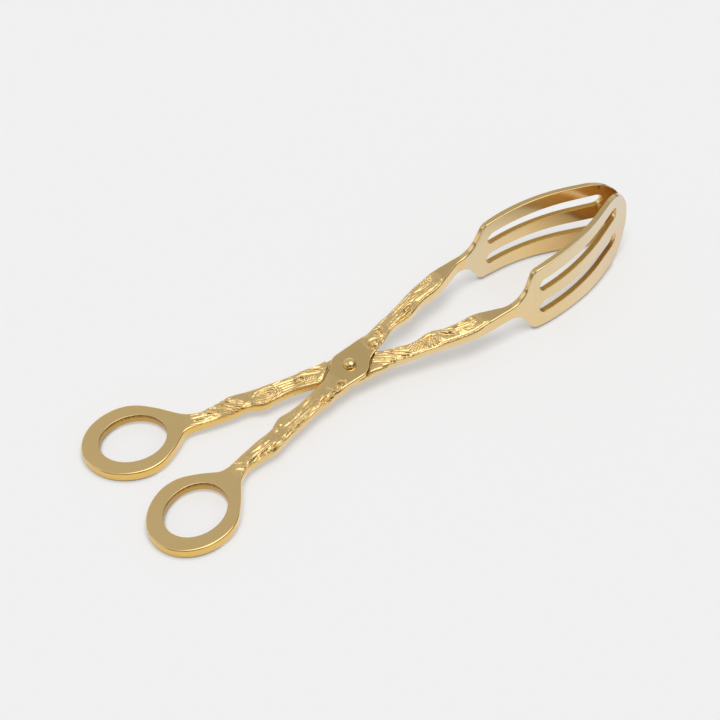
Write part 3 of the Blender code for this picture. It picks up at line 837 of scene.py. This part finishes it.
def smooth_paddle(arm, side):
    """Gives both broad faces of the paddle the direction of their true bend instead of their facets' one."""
    mesh = arm.data
    now = read_all(mesh.corner_normals, "vector", 3)
    at = read_all(mesh.loops, "vertex_index", kind=np.int32)
    x = read_all(mesh.vertices, "co", 3)[at, 0]
    line = np.array(PLATE)
    turn = np.interp(x, line[:, 0], line[:, 2])
    outward = np.stack([-np.sin(turn), np.cos(turn) * side, np.full(len(x), LEAN)], axis=1)
    outward /= np.linalg.norm(outward, axis=1)[:, None]
    for way in (1, -1):
        close = (now * outward).sum(1) * way > math.cos(math.radians(6))
        chosen = close & (x > SHOULDER_X + 1)
        now[chosen] = outward[chosen] * way
    mesh.normals_split_custom_set(now.tolist())
    mesh.update()


def lean_paddle(arm, side):
    for vertex in arm.data.vertices:
        grown = min(max((vertex.co.x - SHOULDER_X + LEAN_GROWS) / LEAN_GROWS, 0), 1)
        vertex.co.y -= side * grown * LEAN * vertex.co.z


def build_arm(name, side, relief, hinge, gold):
    """One cast arm: the solid that its plan and its side view share, cut for the lap, rounded and carved."""
    outlines = [[(p[0], p[1] * side) for p in loop] for loop in (arm_plan(), finger_hole())]
    arm = slab(name + "_shape", outlines, -FAR, FAR)
    side_outlines = [side_view(), *(slot_view(*heights) for heights in SLOTS)]
    cut(arm, slab("side_view", side_outlines, -FAR, FAR, True), "INTERSECT")
    lean_paddle(arm, side)
    only(arm)
    bpy.ops.object.mode_set(mode="EDIT")
    bpy.ops.mesh.select_all(action="SELECT")
    bpy.ops.mesh.remove_doubles(threshold=0.02)
    bpy.ops.mesh.dissolve_limited(angle_limit=math.radians(0.3))
    bpy.ops.mesh.normals_make_consistent(inside=False)
    bpy.ops.object.mode_set(mode="OBJECT")
    round_edges(arm, side)
    if side > 0:
        low, high, gap = -FAR, FACE_GAP, LOWER_DISC_GAP
    else:
        low, high, gap = -FACE_GAP, FAR, UPPER_DISC_GAP
    cut(arm, slab("lap", [[(p[0], -p[1] * side) for p in lap_plan(gap)]], low, high))
    cut(arm, slab("rivet_hole", [arc((0, 0), RIVET_HOLE_R, RIVET_HOLE_R, 0, 360, 48)[:-1]], -FAR, FAR))
    close_cracks(arm)
    grid_top(arm, side)

    def on_shanks(centres):
        x, z = centres[:, 0], centres[:, 2]
        away, _ = by_rear_line(x, centres[:, 1] * side)
        begun = (away > GRID_REAR[0]) | (x > GRID_FRONT[0])
        return (z > 0.2) & begun & (away < GRID_REAR[1]) & (x < GRID_FRONT[1])

    select_faces(arm.data, on_shanks)
    bpy.ops.object.mode_set(mode="EDIT")
    bpy.ops.mesh.subdivide(number_cuts=2)
    bpy.ops.object.mode_set(mode="OBJECT")
    mark_finishes(arm, side)
    shape_shanks(arm, side, relief)
    arm.name = name + "_cast"
    arm.data.name = arm.name
    only(arm)
    bpy.ops.object.shade_smooth_by_angle(angle=math.radians(65))
    even = arm.modifiers.new("even", "WEIGHTED_NORMAL")
    even.keep_sharp = True
    apply_modifiers(arm)
    smooth_paddle(arm, side)
    place(arm, hinge)
    arm.data.materials.clear()
    arm.data.materials.append(gold)
    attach(arm, name)
    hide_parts(name)
    return arm


def build_rivet(hinge, gold):
    """The rivet: a round head, a shank that fills the hole and a flatter tail, turned from one profile."""
    head = arc((0, SEAT), HEAD_R, HEAD_HEIGHT, 90, 0, 24)
    tail = arc((0, -SEAT), HEAD_R, TAIL_HEIGHT, 0, -90, 12)
    profile = [*head, Vector((RIVET_R, SEAT)), Vector((RIVET_R, -SEAT)), *tail]
    mesh = bpy.data.meshes.new("rivet_turned")
    mesh.from_pydata([(p.x, 0, p.y) for p in profile], [(i, i + 1) for i in range(len(profile) - 1)], [])
    rivet = bpy.data.objects.new("rivet_turned", mesh)
    bpy.context.scene.collection.objects.link(rivet)
    turn = rivet.modifiers.new("turn", "SCREW")
    turn.steps = turn.render_steps = 64
    turn.use_merge_vertices = True
    turn.merge_threshold = 0.001
    apply_modifiers(rivet)
    place(rivet, hinge)
    only(rivet)
    bpy.ops.object.shade_smooth_by_angle(angle=math.radians(40))
    rivet.data.materials.append(gold)
    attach(rivet, "lower_arm")
    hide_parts("pivot_rivet")
    return rivet


# Finishes


def node(tree, kind, **values):
    """A new node with these properties and sockets set."""
    made = tree.nodes.new(kind)
    for key, value in values.items():
        if key in made.bl_rna.properties:
            setattr(made, key, value)
        else:
            made.inputs[key.replace("_", " ")].default_value = value
    return made


def polished_gold(name):
    """Lacquered gold plate, mirror-like but rough where sawn, with painted reflection, interreflection and
    shade toned in where the arms are marked.
    """
    made = bpy.data.materials.new(name)
    made.use_nodes = True
    tree = made.node_tree
    link = tree.links.new
    shader = tree.nodes["Principled BSDF"]
    shader.inputs["Metallic"].default_value = 1.0
    shader.inputs["Coat Roughness"].default_value = 0.06
    where = node(tree, "ShaderNodeTexCoord")

    def marked(attribute, low=0.0, high=1.0, to_high=1.0):
        mark = node(tree, "ShaderNodeAttribute", attribute_name=attribute)
        share = node(tree, "ShaderNodeMapRange", From_Min=low, From_Max=high, To_Max=to_high)
        link(mark.outputs["Fac"], share.inputs["Value"])
        return share.outputs["Result"]

    def toned(colour, other, share):
        mix = node(tree, "ShaderNodeMix", data_type="RGBA")
        mix.inputs["B"].default_value = (*other, 1)
        if isinstance(colour, tuple):
            mix.inputs["A"].default_value = (*colour, 1)
        else:
            link(colour, mix.inputs["A"])
        link(share, mix.inputs["Factor"])
        return mix.outputs["Result"]

    clouds = node(tree, "ShaderNodeTexNoise", Scale=45.0, Detail=3.0, Roughness=0.55)
    link(where.outputs["Object"], clouds.inputs["Vector"])
    marks = node(tree, "ShaderNodeTexNoise", Scale=900.0, Detail=4.0, Roughness=0.6)
    link(where.outputs["Object"], marks.inputs["Vector"])
    upright = node(tree, "ShaderNodeMapping")
    upright.inputs["Scale"].default_value = (1, 1, 0.06)
    link(where.outputs["Object"], upright.inputs["Vector"])
    saw_marks = node(tree, "ShaderNodeTexNoise", Scale=1700.0, Detail=2.0, Roughness=0.7)
    link(upright.outputs["Vector"], saw_marks.inputs["Vector"])

    colour = toned(YELLOW_GOLD, LIGHT_GOLD, clouds.outputs["Fac"])
    # painted reflection of the pale floor on the paddles
    colour = toned(colour, FLOOR_REFLECTION_GOLD, marked("pale"))
    # painted shade in the bark's recesses
    colour = toned(colour, RECESS_SHADE_GOLD, marked("hollow", 0.1, 1.0, 0.7))
    # painted shade between the tips and painted reflected shadow under them
    colour = toned(colour, TIP_SHADE_GOLD, marked("painted_tip_shade"))
    # painted interreflection on the rear walls
    colour = toned(colour, WALL_BOUNCE_GOLD, marked("painted_wall_bounce"))
    sawn = marked("sawn")
    # the sawn walls' darker tone is painted shade in the finger holes and slots
    colour = toned(colour, SAWN_AND_SHADED_GOLD, sawn)
    # painted dark shade, streaked by the saw marks, at the top of the finger holes' walls and in the lap gap
    streaks = node(tree, "ShaderNodeMapRange", From_Min=0.35, From_Max=0.6, To_Min=0.45, To_Max=1.0)
    link(saw_marks.outputs["Fac"], streaks.inputs["Value"])
    shaded = node(tree, "ShaderNodeMath", operation="MULTIPLY")
    link(marked("painted_wall_shade", 0.5, 0.88), shaded.inputs[0])
    link(streaks.outputs["Result"], shaded.inputs[1])
    colour = toned(colour, PAINTED_DARK_SHADE, shaded.outputs["Value"])
    link(colour, shader.inputs["Base Color"])
    lacquer = node(tree, "ShaderNodeMapRange", To_Min=0.7, To_Max=0.1)
    link(sawn, lacquer.inputs["Value"])
    link(lacquer.outputs["Result"], shader.inputs["Coat Weight"])

    sheen = node(tree, "ShaderNodeMapRange", From_Min=0.3, From_Max=0.7, To_Min=0.10, To_Max=0.16)
    link(marks.outputs["Fac"], sheen.inputs["Value"])
    cast = marked("cast")
    roughness = sheen.outputs["Result"]
    for finish, value in ((cast, 0.13), (sawn, 0.34)):
        rougher = node(tree, "ShaderNodeMix")
        rougher.inputs["B"].default_value = value
        link(finish, rougher.inputs["Factor"])
        link(roughness, rougher.inputs["A"])
        roughness = rougher.outputs["Result"]
    link(roughness, shader.inputs["Roughness"])

    pitted = node(tree, "ShaderNodeMath", operation="MULTIPLY_ADD")
    link(cast, pitted.inputs[0])
    pitted.inputs[1].default_value = 5.0
    pitted.inputs[2].default_value = 0.25
    pits = node(tree, "ShaderNodeMath", operation="MULTIPLY")
    link(marks.outputs["Fac"], pits.inputs[0])
    link(pitted.outputs["Value"], pits.inputs[1])
    fine = node(tree, "ShaderNodeBump", Strength=0.35, Distance=0.0001)
    link(pits.outputs["Value"], fine.inputs["Height"])
    sawn_only = node(tree, "ShaderNodeMath", operation="MULTIPLY")
    link(saw_marks.outputs["Fac"], sawn_only.inputs[0])
    link(sawn, sawn_only.inputs[1])
    sawing = node(tree, "ShaderNodeBump", Strength=0.8, Distance=0.0002)
    link(sawn_only.outputs["Value"], sawing.inputs["Height"])
    link(fine.outputs["Normal"], sawing.inputs["Normal"])
    link(sawing.outputs["Normal"], shader.inputs["Normal"])
    return made


# Studio


def toward(azimuth, height):
    """The direction at this azimuth (from +X towards +Y) and height above the horizon, both in degrees."""
    a, h = math.radians(azimuth), math.radians(height)
    return Vector((math.cos(a) * math.cos(h), math.sin(a) * math.cos(h), math.sin(h)))


def soft_lamp(name, azimuth, height, strength, width):
    """A distant soft lamp. In the gold, the room's bright panel stands for it."""
    sun = bpy.data.lights.new(name, "SUN")
    sun.energy = strength
    sun.angle = math.radians(width)
    lamp = bpy.data.objects.new(name, sun)
    bpy.context.scene.collection.objects.link(lamp)
    lamp.rotation_euler = (-toward(azimuth, height)).to_track_quat("-Z", "Y").to_euler()
    lamp.visible_glossy = False


def shown_rays(tree):
    """1 for rays from the camera, and for those that metal or glass sends on."""
    seen = node(tree, "ShaderNodeLightPath")
    both = node(tree, "ShaderNodeMath", operation="MAXIMUM")
    tree.links.new(seen.outputs["Is Glossy Ray"], both.inputs[0])
    tree.links.new(seen.outputs["Is Transmission Ray"], both.inputs[1])
    every = node(tree, "ShaderNodeMath", operation="MAXIMUM")
    tree.links.new(seen.outputs["Is Camera Ray"], every.inputs[0])
    tree.links.new(both.outputs["Value"], every.inputs[1])
    return seen.outputs["Is Camera Ray"], both.outputs["Value"], every.outputs["Value"]


def build_floor():
    """A pale floor that keeps its soft shadows, glows a little, and looks darker further off in the gold."""
    bpy.ops.mesh.primitive_plane_add(size=12, location=(0, 0, 0))
    floor = bpy.context.view_layer.objects.active
    floor.name = "floor"
    pale = bpy.data.materials.new("pale_floor")
    pale.use_nodes = True
    tree = pale.node_tree
    shader = tree.nodes["Principled BSDF"]
    shader.inputs["Base Color"].default_value = PALE_FLOOR
    shader.inputs["Roughness"].default_value = 0.9
    shader.inputs["Specular IOR Level"].default_value = 0.0
    glow = node(tree, "ShaderNodeEmission", Color=BACKDROP)
    near = node(tree, "ShaderNodeAmbientOcclusion", samples=8, Distance=CONTACT)
    closer = node(tree, "ShaderNodeMath", operation="POWER")
    closer.inputs[1].default_value = 1.5
    tree.links.new(near.outputs["AO"], closer.inputs[0])
    tree.links.new(closer.outputs["Value"], glow.inputs["Strength"])
    share = node(tree, "ShaderNodeMath", operation="MULTIPLY")
    share.inputs[1].default_value = FLOOR_GLOW
    _, by_gloss, by_either = shown_rays(tree)
    tree.links.new(by_either, share.inputs[0])
    blend = node(tree, "ShaderNodeMixShader")
    tree.links.new(share.outputs["Value"], blend.inputs["Fac"])
    tree.links.new(shader.outputs["BSDF"], blend.inputs[1])
    tree.links.new(glow.outputs["Emission"], blend.inputs[2])
    where = node(tree, "ShaderNodeTexCoord")
    reach = node(tree, "ShaderNodeVectorMath", operation="LENGTH")
    tree.links.new(where.outputs["Object"], reach.inputs[0])
    far = node(tree, "ShaderNodeMapRange", interpolation_type="SMOOTHSTEP", From_Min=0.1, From_Max=0.6)
    far.inputs["To Max"].default_value = 0.75
    tree.links.new(reach.outputs["Value"], far.inputs["Value"])
    dim = node(tree, "ShaderNodeMath", operation="MULTIPLY")
    tree.links.new(far.outputs["Result"], dim.inputs[0])
    tree.links.new(by_gloss, dim.inputs[1])
    table_end = node(tree, "ShaderNodeEmission", Color=TABLE_END)
    whole = node(tree, "ShaderNodeMixShader")
    tree.links.new(dim.outputs["Value"], whole.inputs["Fac"])
    tree.links.new(blend.outputs["Shader"], whole.inputs[1])
    tree.links.new(table_end.outputs["Emission"], whole.inputs[2])
    tree.links.new(whole.outputs["Shader"], tree.nodes["Material Output"].inputs["Surface"])
    floor.data.materials.append(pale)


def build_room(hinge):
    """What the gold reflects, from the panels of ROOM, and the pale backdrop that the camera sees."""
    world = bpy.data.worlds.new("room")
    bpy.context.scene.world = world
    world.use_nodes = True
    tree = world.node_tree
    link = tree.links.new
    where = node(tree, "ShaderNodeTexCoord")
    turn = hinge.to_3x3()
    room = None
    for shade, azimuth, height, inner, outer in ROOM:
        mix = node(tree, "ShaderNodeMix", data_type="RGBA")
        mix.inputs["B"].default_value = (*(shade * tone for tone in LAMP_TONE), 1)
        if room is None:
            mix.inputs["Factor"].default_value = 1.0
        else:
            link(room, mix.inputs["A"])
            dot = node(tree, "ShaderNodeVectorMath", operation="DOT_PRODUCT")
            link(where.outputs["Generated"], dot.inputs[0])
            dot.inputs[1].default_value = turn @ toward(azimuth, height)
            edge = node(
                tree, "ShaderNodeMapRange", interpolation_type="SMOOTHSTEP",
                From_Min=math.cos(math.radians(outer)), From_Max=math.cos(math.radians(inner)),
            )
            link(dot.outputs["Value"], edge.inputs["Value"])
            link(edge.outputs["Result"], mix.inputs["Factor"])
        room = mix.outputs["Result"]
    by_camera, by_gloss, _ = shown_rays(tree)
    gloss = node(tree, "ShaderNodeMix", data_type="RGBA")
    gloss.inputs["A"].default_value = (AMBIENT, AMBIENT, AMBIENT, 1)
    link(by_gloss, gloss.inputs["Factor"])
    link(room, gloss.inputs["B"])
    backdrop = node(tree, "ShaderNodeMix", data_type="RGBA")
    backdrop.inputs["B"].default_value = BACKDROP
    link(by_camera, backdrop.inputs["Factor"])
    link(gloss.outputs["Result"], backdrop.inputs["A"])
    link(backdrop.outputs["Result"], tree.nodes["Background"].inputs["Color"])


def build_camera(hinge):
    """The camera, looking down on the tongs from the side of the near finger ring."""
    camera = bpy.data.cameras.new("camera")
    camera.sensor_width = SENSOR
    camera.lens = LENS
    camera.clip_start, camera.clip_end = 0.01, 30
    viewer = bpy.data.objects.new("camera", camera)
    bpy.context.scene.collection.objects.link(viewer)
    stand = Matrix((CAMERA_RIGHT, CAMERA_UP, CAMERA_BACK)).transposed().to_4x4()
    stand.translation = CAMERA_AT
    viewer.matrix_world = hinge @ stand
    bpy.context.scene.camera = viewer


def main():
    clear_selection()
    joint = frame["joints"][0]
    axis = Vector(joint["axis"])
    hinge = Matrix.Translation(joint["pos_m"]) @ Matrix.Rotation(math.atan2(axis.x, axis.z), 4, "Y")
    arm_gold = polished_gold("arm_gold")
    build_arm("upper_arm", 1, upper_relief, hinge, arm_gold)
    build_arm("lower_arm", -1, lower_relief, hinge, arm_gold)
    build_rivet(hinge, polished_gold("rivet_gold"))
    soft_lamp("key_lamp", azimuth=-140, height=72, strength=1.75, width=26)
    soft_lamp("top_lamp", azimuth=-60, height=80, strength=0.40, width=80)
    build_floor()
    build_room(hinge)
    build_camera(hinge)
    bpy.context.scene.view_settings.view_transform = "Standard"
    clear_selection()


main()
